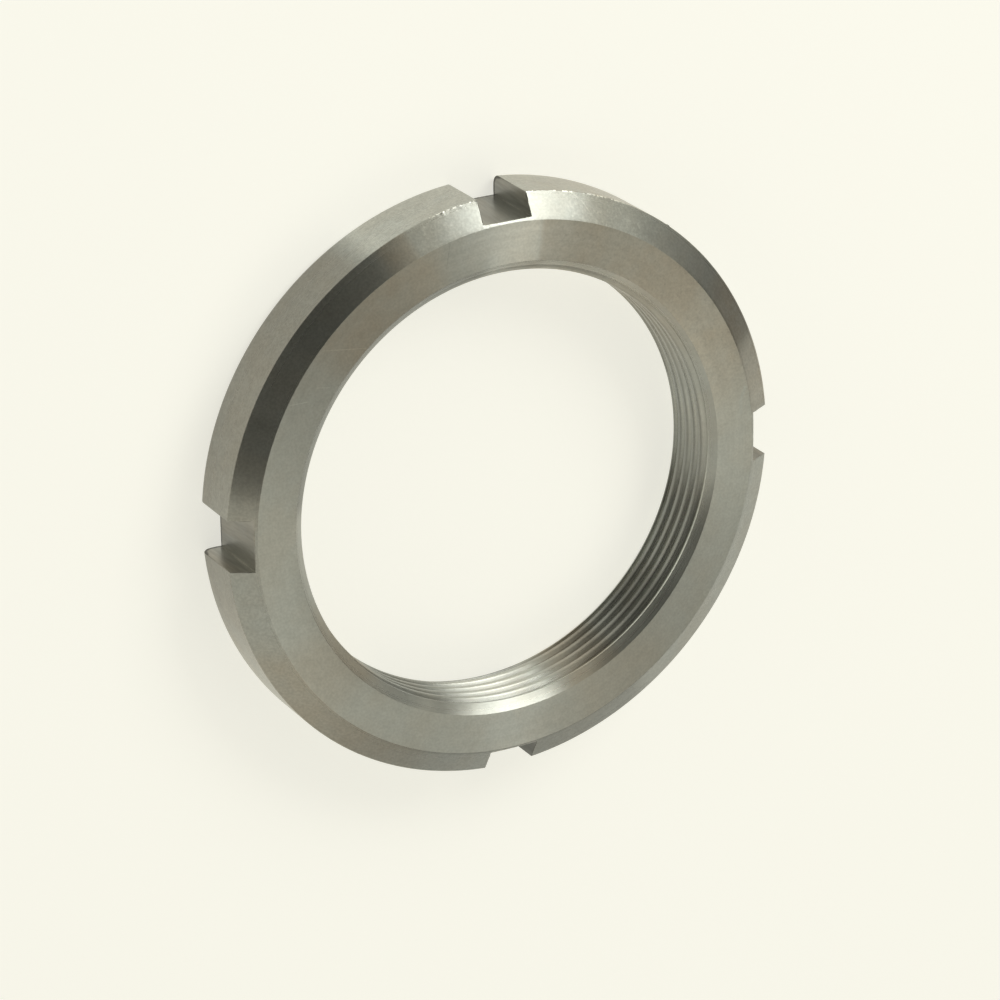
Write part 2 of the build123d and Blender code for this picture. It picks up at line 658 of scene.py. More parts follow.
class LatheCut(NamedTuple):
    """One finish that the lathe left: where it is stained or marked, and its painted light and shade.

    Its marks' places depend on the radius and on the height by two shares. Painted light and
    shade for a countersink, the thread's crests and its grooves is for the bore alone. Specks are
    dark smudges on the face and painted sparkle on the chamfer.
    """

    name: str
    roughness: float
    stretch: float
    radius_share: float
    height_share: float
    mark_depth: float
    grain_depth: float
    shade: float
    mark_contrast: float = 0.05
    grain_contrast: float = 0.03
    mottle: float = 0.02
    rough_spread: float = 0.02
    stains: tuple = ()
    painted_light: tuple = ()
    sink_shade: float = 1.0
    sink_painted_light: tuple = ()
    crest_painted_light: tuple = ()
    groove_painted_light: tuple = ()
    scratches: tuple = ()
    specks_and_sparkle: tuple = ()
    wipes: tuple = ()


# Features of the steel's finish to a metre: blotches of oil, smudges, grain, specks, and the
# burr's painted glints with the clusters that they lie in, then how turning marks change on their way round
BLOTCH_SCALE, SMUDGE_SCALE, GRAIN_SCALE, SPECK_SCALE = 140.0, 700.0, 2600.0, 1700.0
GLINT_SCALE, CLUSTER_SCALE, CIRCLE_SCALE = 2900.0, 450.0, 12.0

# Turning marks to a millimetre
FINE_MARKS, BROAD_MARKS = 5.0, 1.2

# Levels of their noise at which specks and painted glints begin and are whole, and the clusters' share
SPECK_REACH, GLINT_REACH, CLUSTER_SHARE = (0.5, 0.68), (0.95, 1.02), 0.8

# Strength of the faint oil that is everywhere, and the least of a stain that its blotches leave
STAIN_TRACE, STAIN_LEAST = 0.25, 0.6

# Half widths out to which a scratch, a wipe and the burr are even, and at which they end
SCRATCH_WIDTHS, WIPE_WIDTHS = (0.03 * MM, 0.1 * MM), (0.15 * MM, 0.4 * MM)
BURR_WIDTHS = (0.06 * MM, 0.24 * MM)

# Height above which scratches and wipes are drawn
FRONT_FROM = 1 * MM

# Share of a full turn between the marks' direction and the one in which a highlight stretches
ACROSS_MARKS = 0.25

# Height over which the countersink's painted light and shade blends into the thread's, and the
# depths below the crests at which a groove's painted light and shade begins and is whole
SINK_BLEND, GROOVE_DEPTHS = 0.4 * MM, (0.1 * MM, 0.35 * MM)


class Steel:
    """Nodes of one steel surface: places on the nut, and the marks and stains worked out from them."""

    def __init__(self, finish, name):
        self.finish = finish
        self.material, self.nodes = new_material(name)
        self.place = self.nodes.add("ShaderNodeTexCoord").outputs["Object"]
        self.x, self.y, self.z = self.nodes.add("ShaderNodeSeparateXYZ", {0: self.place}).outputs
        flat = self.nodes.vector("MULTIPLY", self.place, (1, 1, 0))
        self.radius = self.nodes.measure("LENGTH", flat)
        self.blotches = self.nodes.noise(self.place, BLOTCH_SCALE, detail=4.0, roughness=0.6)

    def mixed(self, *parts):
        """Sum of values, each with its share."""
        total = 0.0
        for value, share in parts:
            total = self.nodes.add("ShaderNodeMath", {0: value, 1: share, 2: total},
                                   operation="MULTIPLY_ADD").outputs[0]
        return total

    def between(self, patch):
        """1 on a patch, with its fades inside it, and 0 elsewhere."""
        middle, half = radians(patch.start + patch.end) / 2, (patch.end - patch.start) / 2
        ahead = self.nodes.measure("DOT_PRODUCT", self.place, (cos(middle), sin(middle), 0))
        aside = self.nodes.measure("DOT_PRODUCT", self.place, (-sin(middle), cos(middle), 0))
        angle = self.nodes.math("ARCTAN2", aside, ahead)
        begun = self.nodes.ramp(angle, radians(-half), radians(patch.fade_in - half), kind="SMOOTHSTEP")
        left = self.nodes.ramp(angle, radians(half - patch.fade_out), radians(half), 1.0, 0.0,
                               kind="SMOOTHSTEP")
        inside = self.nodes.math("MULTIPLY", begun, left)
        inside.node.label = patch.name
        return inside

    def circles(self, cut, per_mm):
        """Noise that runs in circles round the axis, with this many marks to a millimetre."""
        profile = self.mixed((self.radius, cut.radius_share), (self.z, cut.height_share))
        vector = self.nodes.joined(self.mixed((profile, per_mm / MM)), self.mixed((self.x, CIRCLE_SCALE)),
                                   self.mixed((self.y, CIRCLE_SCALE)))
        return self.nodes.noise(vector, 1.0, detail=1.0)

    def slanting(self, across, per_mm, drift_per_mm):
        """Place in noise that runs along the mill's marks, with so many to a millimetre and a slow drift."""
        slant = self.mixed((across, SLANT_ACROSS), (self.z, SLANT_HEIGHT), (self.radius, 1.0))
        return self.nodes.joined(self.mixed((slant, per_mm / MM)), self.mixed((across, drift_per_mm / MM)),
                                 self.mixed((self.z, drift_per_mm / MM)))

    def stained(self, stains):
        """How much dried oil lies here: a blotchy trace everywhere and more at the named places."""
        blotchy = self.nodes.around(self.blotches, 0.5, 0.5, reach=0.12)
        amount = self.mixed((blotchy, STAIN_TRACE))
        uneven = self.nodes.share(blotchy, STAIN_LEAST, 1.0)
        for patch in stains:
            strength = self.nodes.math("MULTIPLY", self.between(patch), patch.level)
            amount = self.nodes.math("MAXIMUM", amount, self.nodes.math("MULTIPLY", strength, uneven))
        return amount

    def wiped(self, stain, wipes):
        """A stain, times what each wipe leaves of it."""
        for wipe in wipes:
            left = self.nodes.share(self.line(wipe, *WIPE_WIDTHS), 1.0, wipe.level)
            stain = self.nodes.math("MULTIPLY", stain, left)
        return stain

    def with_painted_light(self, shade, painted_light):
        """A shade, times each patch's painted light: painted shade below 1, painted sheen above."""
        for patch in painted_light:
            left = self.nodes.share(self.between(patch), 1.0, patch.level)
            shade = self.nodes.math("MULTIPLY", shade, left)
        return shade

    def torn(self, form):
        """1 along the burr on the rim's front edge, and 0 elsewhere."""
        outwards = self.nodes.math("SUBTRACT", self.radius, form.rim_radius)
        upwards = self.nodes.math("SUBTRACT", self.z, form.chamfer_height(form.rim_radius))
        distance = self.nodes.measure("LENGTH", self.nodes.joined(outwards, upwards))
        even, whole = BURR_WIDTHS
        at_edge = self.nodes.ramp(distance, even, whole, 1.0, 0.0)
        fade = BURR_WHOLE - BURR_EVEN
        burr = Patch("burr", BURR_MIDDLE - BURR_WHOLE, BURR_MIDDLE + BURR_WHOLE, fade, fade, 1.0)
        return self.nodes.math("MULTIPLY", at_edge, self.between(burr))

    def line(self, stroke, even, whole):
        """1 along a stroke on the front, fading from one half width to another."""
        start = on_face(stroke.azimuth, stroke.radius)
        run = on_face(stroke.end_azimuth, stroke.end_radius) - start
        side = Vector((-run.y, run.x, 0)).normalized()
        away = self.nodes.vector("SUBTRACT", self.place, start)
        along = self.nodes.measure("DOT_PRODUCT", away, run / run.length_squared)
        across = self.nodes.math("ABSOLUTE", self.nodes.measure("DOT_PRODUCT", away, side))
        line = self.nodes.ramp(across, even, whole, 1.0, 0.0)
        within = self.nodes.math("COMPARE", along, 0.5, 0.5)
        in_front = self.nodes.math("GREATER_THAN", self.z, FRONT_FROM)
        drawn = self.nodes.math("MULTIPLY", line, self.nodes.math("MULTIPLY", within, in_front))
        drawn.node.label = stroke.name
        return drawn

    def coloured(self, stain, shade):
        """The steel's colour, browner where it is stained, times a shade."""
        colour = self.nodes.blend(stain, with_alpha(self.finish.steel_colour),
                                  with_alpha(self.finish.stain_colour))
        return self.nodes.scaled(colour, shade)

    def finished(self, colour, roughness, normal, stretch=0.0):
        """The material, once its shader has these inputs."""
        tangent = self.nodes.add("ShaderNodeTangent", direction_type="RADIAL", axis="Z").outputs[0]
        steel = self.nodes.add("ShaderNodeBsdfPrincipled", {
            "Base Color": colour, "Metallic": 1.0, "Roughness": roughness,
            "Anisotropic": stretch, "Anisotropic Rotation": ACROSS_MARKS,
            "Normal": normal, "Tangent": tangent})
        self.nodes.add("ShaderNodeOutputMaterial", {"Surface": steel.outputs[0]})
        return self.material


def on_face(azimuth, radius_mm):
    """A point of the front, seen along the axis."""
    turn = radians(azimuth)
    return Vector((radius_mm * MM * cos(turn), radius_mm * MM * sin(turn), 0))


def painted_glints(steel):
    """Painted glints: bright spots along the burr's torn metal, which lie in clusters."""
    nodes = steel.nodes
    clusters = steel.mixed((nodes.noise(steel.place, GLINT_SCALE, detail=0.0), 1.0),
                           (nodes.noise(steel.place, CLUSTER_SCALE, detail=0.0), CLUSTER_SHARE))
    return nodes.ramp(clusters, *GLINT_REACH, 0.0, BURR_BRIGHTER)


def turned_shade(steel, cut, marks, grain, torn):
    """Shade of a turned surface from marks, grain, smudges, painted glints on the burr, specks and scratches.
    """
    nodes = steel.nodes
    smudges = nodes.noise(steel.place, SMUDGE_SCALE, detail=3.0, roughness=0.6)
    shade = nodes.around(marks, cut.shade, cut.mark_contrast)
    shade = nodes.math("MULTIPLY", shade, nodes.around(grain, 1.0, cut.grain_contrast, reach=0.15))
    shade = nodes.math("MULTIPLY", shade, nodes.around(smudges, 1.0, cut.mottle, reach=0.15))
    # Painted glints along the burr on the rim's front edge
    shade = steel.mixed((nodes.math("MULTIPLY", painted_glints(steel), torn), 1.0), (shade, 1.0))
    # Specks: dark smudges on the face, or painted sparkle where the highlight falls on the chamfer
    if cut.specks_and_sparkle:
        specks = nodes.ramp(nodes.noise(steel.place, SPECK_SCALE, detail=3.0, roughness=0.7), *SPECK_REACH)
    for patch in cut.specks_and_sparkle:
        specked = nodes.math("MULTIPLY", specks, steel.between(patch))
        shade = steel.mixed((specked, patch.level), (shade, 1.0))
    for scratch in cut.scratches:
        shade = steel.mixed((steel.line(scratch, *SCRATCH_WIDTHS), scratch.level), (shade, 1.0))
    # Painted light and shade by azimuth: painted shade below 1, painted sheen above
    return steel.with_painted_light(shade, cut.painted_light)


def bore_shade(steel, cut, form, shade):
    """Shade of the bore; the countersink, crests and grooves have painted light and shade of their own."""
    nodes = steel.nodes
    sink = form.width - (form.mouth_radius - form.crest_radius) / tan(form.sizes.countersink_angle)
    in_sink = nodes.ramp(steel.z, sink, sink + SINK_BLEND)
    depth = nodes.math("SUBTRACT", steel.radius, form.crest_radius)
    crest = steel.with_painted_light(shade, cut.crest_painted_light)
    groove = steel.with_painted_light(shade, cut.groove_painted_light)
    thread = nodes.ramp(depth, *GROOVE_DEPTHS, crest, groove)
    countersink = steel.with_painted_light(nodes.math("MULTIPLY", shade, cut.sink_shade), cut.sink_painted_light)
    return nodes.share(in_sink, thread, countersink)


def turned_steel(finish, cut, form):
    """Steel cut on the lathe: fine circles round the axis that stretch every highlight across them."""
    steel = Steel(finish, cut.name)
    nodes = steel.nodes
    marks = steel.mixed((steel.circles(cut, FINE_MARKS), 0.5), (steel.circles(cut, BROAD_MARKS), 0.5))
    grain = nodes.noise(steel.place, GRAIN_SCALE, detail=1.0)
    torn = steel.torn(form)
    shade = turned_shade(steel, cut, marks, grain, torn)
    if cut.sink_painted_light:
        shade = bore_shade(steel, cut, form, shade)
    colour = steel.coloured(steel.wiped(steel.stained(cut.stains), cut.wipes), shade)
    rough = nodes.around(marks, cut.roughness, cut.rough_spread)
    uneven = nodes.math("MULTIPLY", grain, nodes.share(torn, 1.0, 1.0 + BURR_COARSER))
    normal = nodes.bump(uneven, cut.grain_depth, nodes.bump(marks, cut.mark_depth))
    return steel.finished(colour, rough, normal, cut.stretch)


# The mill's streaks and its broader swathes, each to a millimetre across them and along them,
# their middle shade with how far it varies, and how they slant across the slot and upwards
STREAKS, STREAK_SHADE, STREAK_DEPTH = (4.0, 0.3), (0.89, 0.09), 0.02 * MM
SWATHES, SWATHE_SHADE = (1.3, 0.15), (1.0, 0.12)
SLANT_ACROSS, SLANT_HEIGHT = 0.75, 0.06

# The painted shade by one wall of each slot's floor: how its edge slants with the height and waves
# with the swathes and the blotches, where across the slot it begins and is whole, how far out
# from the floor it fades, the shade beside it and on it, and the share of the oil on it
WALL_SHADE_SLANT, WALL_SHADE_WAVES, WALL_SHADE_RIPPLES = 0.25, 5 * MM, 1 * MM
WALL_SHADE_FADES_IN, WALL_SHADE_FADES_OUT = (4.9 * MM, 6.3 * MM), (1.2 * MM, 2.6 * MM)
WALL_SHADE_LEVELS, WALL_SHADE_OIL = (0.8, 0.72), 0.5

# How far out from a slot's corner its wall begins, and how far from the slot's middle
WALL_BEGINS, WALL_SIDE = (-0.12 * MM, 0.02 * MM), 1 * MM

# The painted highlight along a slot's corner: how far off the wall it begins and is whole, how soon it
# ends on the wall, the heights over which it gains in strength, from what share, and how much it brightens
CORNER_LINE, CORNER_ENDS = (0.25 * MM, 0.1 * MM), 0.03 * MM
CORNER_GAINS, CORNER_LEAST, CORNER_HIGHLIGHT = (2 * MM, 6 * MM), 0.3, 1.16

# The painted shade along a slot wall's back edge: how far in from the edge it begins and is whole,
# its shade, and the height over which it narrows to a share of its reach up the outer edge
BACK_LINE, BACK_LINE_SHADE = (0.6 * MM, 0.35 * MM), 0.35
BACK_LINE_NARROWS, BACK_LINE_UPPER = 1 * MM, 0.72

# Painted shade in the right, left and bottom slots, darkest in the bottom one, and painted light on the left
# slot's wall; the slots' stains below are real oil
SLOT_PAINTED_SHADE = (
    Patch("right slot", -30, 30, 2, 2, 0.8),
    Patch("left slot", 150, 210, 2, 2, 0.92),
    Patch("bottom slot", 240, 300, 2, 2, 0.45))
WALL_PAINTED_LIGHT = (Patch("left slot's wall", 150, 210, 2, 2, 1.42),)
SLOT_STAINS = (
    Patch("right slot", -30, 30, 2, 2, 1.0),
    Patch("top slot", 70, 110, 2, 2, 0.6),
    Patch("left slot", 156, 204, 2, 2, 0.75))


def painted_wall_shade(steel, across, out, swathes):
    """1 on the painted shade that lies by one wall of each slot's floor, and 0 elsewhere."""
    nodes = steel.nodes
    wavy = steel.mixed((across, 1.0), (steel.z, WALL_SHADE_SLANT), (swathes, WALL_SHADE_WAVES),
                       (steel.blotches, WALL_SHADE_RIPPLES))
    inside = nodes.ramp(out, *WALL_SHADE_FADES_OUT, 1.0, 0.0)
    return nodes.math("MULTIPLY", nodes.ramp(wavy, *WALL_SHADE_FADES_IN), inside)


def painted_corner_highlight(steel, form, across):
    """Painted highlight: a light line along the corner of each slot's floor and wall, fainter towards the
    back.
    """
    nodes = steel.nodes
    begins, whole = CORNER_LINE
    on_floor = nodes.ramp(across, form.half_slot - begins, form.half_slot - whole)
    on_floor = nodes.math("MULTIPLY", on_floor, nodes.ramp(steel.z, *CORNER_GAINS, CORNER_LEAST, 1.0))
    line = nodes.ramp(across, form.half_slot, form.half_slot + CORNER_ENDS, on_floor, 0.0)
    return nodes.share(line, 1.0, CORNER_HIGHLIGHT)


def painted_back_edge_shade(steel, form):
    """Painted shade: a dark line along each slot wall's rounded back edge, and up its outer edge."""
    nodes = steel.nodes
    rounding = form.sizes.back_edge_radius
    outwards = nodes.math("MAXIMUM", nodes.math("SUBTRACT", steel.radius, form.rim_radius - rounding), 0.0)
    narrower = nodes.ramp(steel.z, rounding, rounding + BACK_LINE_NARROWS, 1.0, BACK_LINE_UPPER)
    downwards = nodes.math("MAXIMUM", nodes.math("SUBTRACT", rounding, steel.z), 0.0)
    from_centre = nodes.joined(nodes.math("MULTIPLY", outwards, narrower), downwards)
    reach = nodes.measure("LENGTH", from_centre)
    begins, whole = BACK_LINE
    return nodes.ramp(reach, rounding - begins, rounding - whole, 1.0, BACK_LINE_SHADE)


def milled_steel(finish, form):
    """Steel cut by an end mill: slanting streaks, and painted shade by one wall of each slot's floor."""
    steel = Steel(finish, "milled_steel")
    nodes = steel.nodes
    across = nodes.math("DIVIDE", nodes.math("MULTIPLY", steel.x, steel.y), form.floor_distance)
    out = nodes.math("SUBTRACT", steel.radius, form.corner_radius)
    streaks = nodes.noise(steel.slanting(across, *STREAKS), 1.0, detail=2.0, roughness=0.6)
    swathes = nodes.noise(steel.slanting(across, *SWATHES), 1.0, detail=1.0)
    # Painted shade by one wall of each slot's floor
    wall_shade = painted_wall_shade(steel, across, out, swathes)
    shade = nodes.math("MULTIPLY", nodes.around(streaks, *STREAK_SHADE), nodes.around(swathes, *SWATHE_SHADE))
    shade = nodes.math("MULTIPLY", shade, nodes.share(wall_shade, *WALL_SHADE_LEVELS))
    # Painted shade in the slots, and painted light on the left slot's wall
    shade = steel.with_painted_light(shade, SLOT_PAINTED_SHADE)
    on_wall = nodes.math("MULTIPLY", nodes.ramp(out, *WALL_BEGINS), nodes.ramp(across, 0, WALL_SIDE))
    shade = nodes.share(on_wall, shade, steel.with_painted_light(shade, WALL_PAINTED_LIGHT))
    # Painted highlight along each slot's corner and painted shade along its walls' back edges
    for line in (painted_corner_highlight(steel, form, across), painted_back_edge_shade(steel, form)):
        shade = nodes.math("MULTIPLY", shade, line)
    oil = nodes.math("MULTIPLY", steel.stained(SLOT_STAINS), nodes.share(wall_shade, 1.0, WALL_SHADE_OIL))
    normal = nodes.bump(streaks, STREAK_DEPTH)
    return steel.finished(steel.coloured(oil, shade), finish.milled_roughness, normal)


def faced_cut(finish):
    """The two flat faces."""
    return LatheCut(
        "faced_steel", finish.faced_roughness, finish.faced_stretch, radius_share=1.0, height_share=0.0,
        mark_depth=0.003 * MM, grain_depth=0.002 * MM, grain_contrast=0.05, mottle=0.03, shade=1.22,
        # Stains of real oil; their sharp ends near 83.6 degrees at the top also paint the edge of the
        # highlight there
        stains=(
            Patch("right to top", 0, 83.6, 24, 2.6, 0.9),
            Patch("top", 81, 98, 2.6, 10, 0.5),
            Patch("upper left", 101, 146, 12, 14, 1.0),
            Patch("lower left", 200, 230, 10, 10, 0.5),
            Patch("lower right", 278, 320, 14, 14, 0.5)),
        # Painted shade on the left half, upper right, left of the top and bottom, and a painted sheen at the
        # top
        painted_light=(
            Patch("left half", 85, 275, 40, 40, 0.86),
            Patch("upper right", 25, 83.6, 30, 2.6, 0.87),
            Patch("sheen at the top", 81, 97, 2.6, 12, 1.12),
            Patch("left of the top", 92, 110, 6, 8, 0.92),
            Patch("bottom", 248, 292, 12, 14, 0.92)),
        scratches=(
            Stroke("long, upper left", 137.5, 41.8, 131, 36.2, 0.25),
            Stroke("short, left", 144.5, 39.2, 143, 37.2, 0.25),
            Stroke("outer, left", 150, 41.8, 148, 39.4, 0.25),
            Stroke("dark, by the top slot", 103.4, 41.9, 105.4, 38.8, -0.2)),
        specks_and_sparkle=(Patch("dark smudges, upper right", 8, 82, 12, 8, -0.13),),
        wipes=(
            Stroke("by the right slot", 6.2, 40.3, 9.6, 40.6, 0.2),
            Stroke("to its corner", 9.6, 40.6, 12.2, 41.8, 0.2)))


def chamfered_cut(finish):
    """The chamfer round the seating face."""
    return LatheCut(
        "chamfered_steel", finish.turned_roughness, finish.turned_stretch, radius_share=0.87,
        height_share=-0.5, mark_depth=0.0004 * MM, grain_depth=0.004 * MM, mark_contrast=0.03,
        grain_contrast=0.07, mottle=0.035, rough_spread=0.01, shade=1.06,
        stains=(
            Patch("by the right slot", 4.5, 22, 2, 4, 0.8),
            Patch("right", 14, 40, 8, 8, 1.0),
            Patch("amber, upper left", 109, 119, 3, 4, 1.0),
            Patch("by the left slot", 158, 178, 6, 2, 0.5),
            Patch("lower left", 195, 255, 15, 15, 0.8)),
        # Painted shade where the level is below 1, and painted sheens by the right slot, upper right and
        # upper left
        painted_light=(
            Patch("sheen by the right slot", 7, 20.5, 2, 2, 1.07),
            Patch("right", 19.5, 45, 3, 12, 0.8),
            Patch("right, darker part", 20, 32, 3, 7, 0.87),
            Patch("sheen, upper right", 54, 75, 9, 4, 1.2),
            Patch("round the top slot", 75, 103, 4, 5, 0.88),
            Patch("left of the top slot", 94, 104, 1, 4, 0.92),
            Patch("sheen, upper left", 104, 118, 3, 3, 1.1),
            Patch("upper left", 116, 142, 4, 5, 0.86),
            Patch("by the left slot", 152, 172, 4, 4, 0.86),
            Patch("bottom", 265, 305, 8, 8, 0.75)),
        scratches=(
            Stroke("from the rim", 75.5, 46, 73, 44.9, 0.25),
            Stroke("on towards the face", 73, 44.9, 71.2, 43.6, 0.25)),
        # Painted sparkle round the top slot, where the highlight falls
        specks_and_sparkle=(
            Patch("upper right", 50, 80, 8, 6, 0.25),
            Patch("left of the top slot", 98, 113, 2, 4, 0.2)))


def ground_cut(finish):
    """The rim and its rounded back edge."""
    return LatheCut(
        "ground_steel", finish.turned_roughness, finish.turned_stretch, radius_share=0.0, height_share=1.0,
        mark_depth=0.0008 * MM, grain_depth=0.001 * MM, mark_contrast=0.035, grain_contrast=0.075,
        mottle=0.045, rough_spread=0.012, shade=1.13,
        stains=(
            Patch("upper right", 30, 90, 10, 10, 0.7),
            Patch("left", 119, 190, 4, 15, 0.6),
            Patch("lower left", 175, 235, 15, 15, 0.6)),
        # Painted shade on the left and lower left, and a painted sheen at the upper left
        painted_light=(
            Patch("sheen, upper left", 112.5, 119, 3, 2.5, 1.06),
            Patch("left", 115, 190, 7, 30, 0.75),
            Patch("left and lower left", 116, 215, 7, 20, 0.83),
            Patch("upper left", 120, 152, 6, 14, 0.93),
            Patch("round the left slot", 178, 204, 4, 18, 0.84)))


def threaded_cut(finish):
    """The bore with its thread and countersinks."""
    return LatheCut(
        "threaded_steel", finish.turned_roughness, finish.turned_stretch, radius_share=0.25,
        height_share=1.0, mark_depth=0.003 * MM, grain_depth=0.003 * MM, shade=1.06, sink_shade=1.17,
        stains=(
            Patch("upper right", 5, 100, 40, 20, 0.7),
            Patch("lower left", 195, 235, 12, 12, 0.9),
            Patch("lower right", 281, 305, 8, 8, 1.0)),
        # Painted shade at the bottom and a painted sheen at the upper right
        painted_light=(
            Patch("bottom", 225, 295, 15, 10, 0.84),
            Patch("sheen, upper right", 45, 84, 14, 6, 1.42)),
        # Painted light and shade on the countersink: painted shade below 1, painted sheen above
        sink_painted_light=(
            Patch("right", 18, 42, 8, 10, 0.93),
            Patch("sheen, right", 40, 54, 8, 8, 1.06),
            Patch("upper right", 52, 86, 20, 8, 0.86),
            Patch("sheen at the top", 80, 98, 6, 6, 1.05),
            Patch("upper left", 93, 177, 6, 6, 0.62),
            Patch("lower left", -116, -98, 6, 5, 0.78),
            Patch("bottom", -102, -80, 5, 6, 0.86),
            Patch("lower right", -70, -52, 6, 6, 0.9),
            Patch("sheen, lower right", -42, -22, 8, 8, 1.2),
            Patch("by the right slot", -8, 24, 6, 10, 0.9)),
        # Painted light and shade on the crests: a painted sheen at the bottom, painted shade on the right
        crest_painted_light=(
            Patch("sheen at the bottom", -108, -66, 10, 20, 1.45),
            Patch("right half", -72, 40, 12, 52, 0.63),
            Patch("lower right", -58, -32, 10, 10, 0.63),
            Patch("upper right", 0, 50, 10, 10, 0.94)),
        # Painted light and shade in the grooves: painted shade at the bottom and right, painted sheens
        # elsewhere
        groove_painted_light=(
            Patch("bottom", -125, -79, 10, 6, 0.7),
            Patch("sheen at the bottom", -83, -66, 6, 8, 1.25),
            Patch("sheen, lower right", -50, -18, 12, 8, 1.25),
            Patch("sheen, right to top", -10, 90, 22, 12, 1.27),
            Patch("right", 8, 42, 10, 10, 0.85),
            Patch("sheen, upper right", 0, 50, 10, 10, 1.06)))


def nut_materials(finish, form):
    """The nut's materials, in the order of its slots."""
    faced, chamfered, ground, threaded = (
        turned_steel(finish, cut(finish), form)
        for cut in (faced_cut, chamfered_cut, ground_cut, threaded_cut))
    return faced, chamfered, ground, milled_steel(finish, form), threaded


class LOCKNUT_OT_nut(bpy.types.Operator):
    """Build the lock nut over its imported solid"""

    bl_idname = "object.lock_nut"
    bl_label = "Lock nut"
    bl_options = {"REGISTER", "UNDO"}

    def execute(self, context):
        sizes, finish = context.scene.lock_nut_sizes, context.scene.lock_nut_finish
        form = Form(sizes)
        mesh = nut_patches(form).mesh("turned_lock_nut")
        weld(mesh, form)
        piece = bpy.data.objects.new("turned_lock_nut", mesh)
        context.scene.collection.objects.link(piece)
        edges = piece.modifiers.new("Broken edges", "BEVEL")
        edges.limit_method = "WEIGHT"
        edges.width = sizes.edge_break
        edges.segments = BREAK_STEPS
        edges.use_clamp_overlap = False
        apply_modifiers(piece)
        keep_in_box(piece.data)
        piece.data.set_sharp_from_angle(angle=SHARP_SHADING)
        shading = piece.modifiers.new("Face weighted shading", "WEIGHTED_NORMAL")
        shading.keep_sharp = True
        shading.weight = LARGE_FACES_ONLY
        apply_modifiers(piece)
        for material in nut_materials(finish, form):
            piece.data.materials.append(material)
        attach(piece, "root")
        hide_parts(NUT_NODE)
        return {"FINISHED"}


# Corners of the round floor
FLOOR_CORNERS = 96


def add_floor(context, stage):
    """Wide round floor in a pale cream, seen a little brighter than the light on it."""
    shape = bmesh.new()
    bmesh.ops.create_circle(shape, cap_ends=True, segments=FLOOR_CORNERS, radius=stage.floor_radius)
    mesh = bpy.data.meshes.new("floor")
    shape.to_mesh(mesh)
    shape.free()
    floor = bpy.data.objects.new("floor", mesh)
    context.scene.collection.objects.link(floor)
    material, nodes = new_material("pale_floor")
    colour = with_alpha(stage.floor_colour)
    strength = nodes.math("MULTIPLY", seen_directly(nodes), stage.floor_glow)
    glow = nodes.add("ShaderNodeEmission", {"Color": colour, "Strength": strength}).outputs[0]
    dimmed = with_alpha(stage.floor_colour * stage.floor_matt)
    matt = nodes.add("ShaderNodeBsdfDiffuse", {"Color": dimmed}).outputs[0]
    both = nodes.add("ShaderNodeAddShader", {0: matt, 1: glow}).outputs[0]
    nodes.add("ShaderNodeOutputMaterial", {"Surface": both})
    mesh.materials.append(material)


def toward(azimuth, from_zenith):
    """Direction from the nut, by degrees round from X and degrees down from straight up."""
    turn, tilt = radians(azimuth), radians(from_zenith)
    return Vector((sin(tilt) * cos(turn), sin(tilt) * sin(turn), cos(tilt)))


# Parts of the room that differ from its even light, each a round patch: degrees round from
# X, degrees down from straight up, radius of the even part, radius of the whole, brightness
ROOM_PATCHES = {
    "ceiling_panel": (291, 37, 16, 19, 1.08),
    "dark_behind_camera": (143, 34, 30, 38, 0.04),
    "dark_right": (349, 60, 12, 15, 0.02),
    "dark_right_low": (8, 94, 25, 28, 0.02),
    "dark_front": (298, 73, 2, 44, 0.02),
}

# Degrees above the horizon at which the backdrop begins to fade and has ended
BACKDROP_EVEN, BACKDROP_TOP = 7, 10

# Where the soft box hangs: degrees round from X and degrees down from straight up
SOFT_BOX_PLACE = (55, 54)

def add_room(context, stage):
    """Even light from the room with some darker parts, and a low pale backdrop round the floor."""
    world = bpy.data.worlds.new("soft_room")
    context.scene.world = world
    world.use_nodes = True
    nodes = Nodes(world.node_tree)
    direction = nodes.add("ShaderNodeTexCoord").outputs["Generated"]
    level = stage.room_level
    for azimuth, from_zenith, even, whole, patch_level in ROOM_PATCHES.values():
        nearness = nodes.measure("DOT_PRODUCT", direction, toward(azimuth, from_zenith))
        angle = nodes.math("ARCCOSINE", nearness)
        inside = nodes.ramp(angle, radians(even), radians(whole), 1.0, 0.0, kind="SMOOTHSTEP")
        level = nodes.share(inside, level, patch_level)
    room = nodes.add("ShaderNodeBackground", {
        "Color": with_alpha(stage.room_colour), "Strength": level}).outputs[0]
    backdrop = nodes.add("ShaderNodeBackground", {
        "Color": with_alpha(stage.floor_colour), "Strength": stage.backdrop_level}).outputs[0]
    rise = nodes.add("ShaderNodeSeparateXYZ", {0: direction}).outputs["Z"]
    low = nodes.ramp(rise, sin(radians(BACKDROP_EVEN)), sin(radians(BACKDROP_TOP)), 1.0, 0.0)
    shown = nodes.math("MULTIPLY", low, seen_directly(nodes))
    both = nodes.add("ShaderNodeMixShader", {0: shown, 1: room, 2: backdrop}).outputs[0]
    nodes.add("ShaderNodeOutputWorld", {"Surface": both})


def add_key(context, stage):
    """Soft box above and to the right of the nut."""
    direction = toward(*SOFT_BOX_PLACE)
    lamp = bpy.data.lights.new("soft_box", "AREA")
    lamp.shape = "RECTANGLE"
    lamp.size, lamp.size_y = stage.key_width, stage.key_height
    lamp.energy = stage.key_level * pi * stage.key_width * stage.key_height
    lamp.color = stage.key_colour
    piece = bpy.data.objects.new("soft_box", lamp)
    piece.location = direction * stage.key_distance
    roll = Quaternion((0, 0, 1), stage.key_roll)
    piece.rotation_euler = (direction.to_track_quat("Z", "Y") @ roll).to_euler()
    context.scene.collection.objects.link(piece)


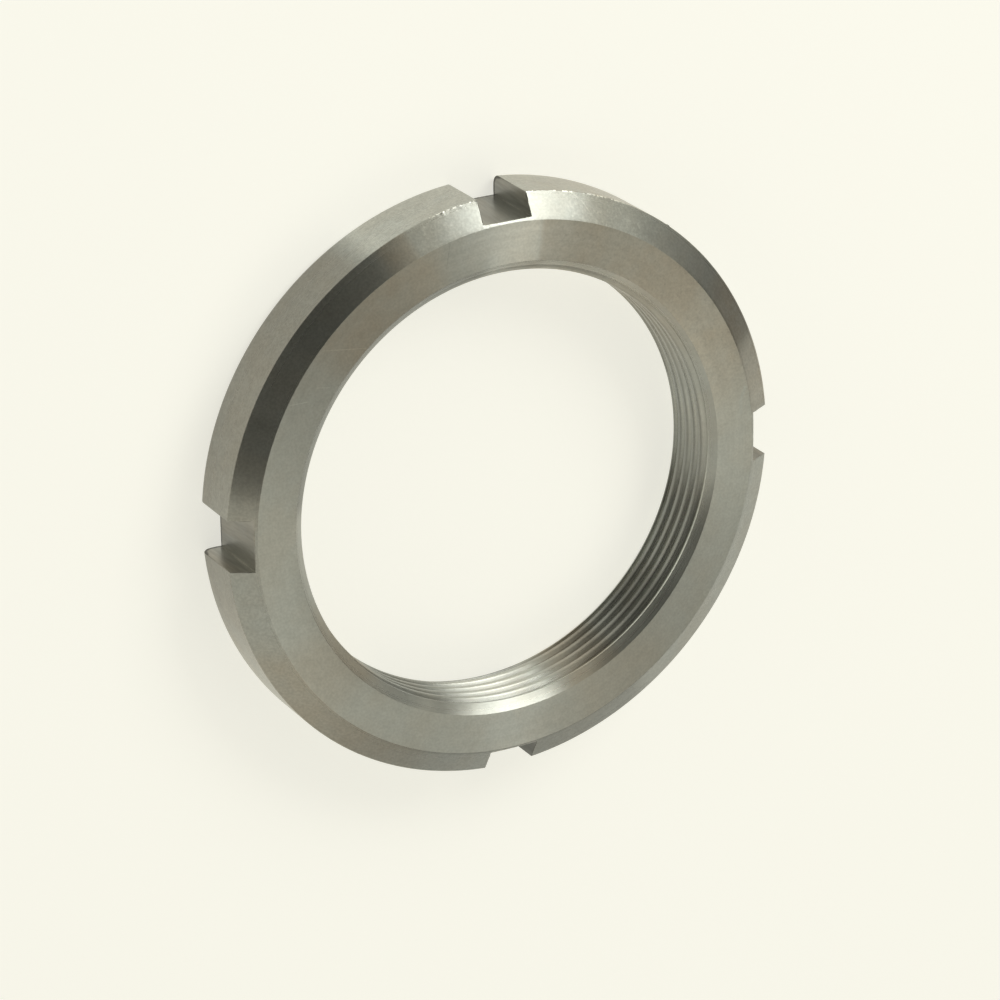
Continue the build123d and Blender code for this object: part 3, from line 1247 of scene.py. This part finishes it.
def add_camera(context, stage):
    """Camera that looks down on the nut from where the photograph looks at its seating face."""
    data = bpy.data.cameras.new("camera")
    data.lens = stage.lens
    camera = bpy.data.objects.new("camera", data)
    camera.location = stage.camera_place
    camera.rotation_euler = Euler(stage.camera_tilt)
    context.scene.collection.objects.link(camera)
    context.scene.camera = camera


class LOCKNUT_OT_stage(bpy.types.Operator):
    """Set out the floor, the light and the camera"""

    bl_idname = "object.lock_nut_stage"
    bl_label = "Stage"
    bl_options = {"REGISTER", "UNDO"}

    def execute(self, context):
        stage = context.scene.lock_nut_stage
        add_floor(context, stage)
        add_room(context, stage)
        add_key(context, stage)
        add_camera(context, stage)
        context.scene.view_settings.view_transform = "Standard"
        return {"FINISHED"}


class LOCKNUT_PT_panel(bpy.types.Panel):
    """Sizes, finish and stage of the lock nut"""

    bl_idname = "LOCKNUT_PT_panel"
    bl_label = "Bearing lock nut"
    bl_space_type = "VIEW_3D"
    bl_region_type = "UI"
    bl_category = "Lock nut"

    def draw(self, context):
        for heading, group in (("Sizes", "lock_nut_sizes"), ("Finish", "lock_nut_finish"),
                               ("Stage", "lock_nut_stage")):
            box = self.layout.box()
            box.label(text=heading)
            values = getattr(context.scene, group)
            for name in values.__annotations__:
                box.prop(values, name)
        self.layout.operator(LOCKNUT_OT_nut.bl_idname)
        self.layout.operator(LOCKNUT_OT_stage.bl_idname)


CLASSES = (LockNutSizes, LockNutFinish, LockNutStage, LOCKNUT_OT_nut, LOCKNUT_OT_stage, LOCKNUT_PT_panel)


def register():
    for each in CLASSES:
        bpy.utils.register_class(each)
    bpy.types.Scene.lock_nut_sizes = PointerProperty(type=LockNutSizes)
    bpy.types.Scene.lock_nut_finish = PointerProperty(type=LockNutFinish)
    bpy.types.Scene.lock_nut_stage = PointerProperty(type=LockNutStage)


def unregister():
    del bpy.types.Scene.lock_nut_stage
    del bpy.types.Scene.lock_nut_finish
    del bpy.types.Scene.lock_nut_sizes
    for each in reversed(CLASSES):
        bpy.utils.unregister_class(each)


def main():
    register()
    bpy.ops.object.lock_nut()
    bpy.ops.object.lock_nut_stage()


if __name__ == "__main__":
    main()
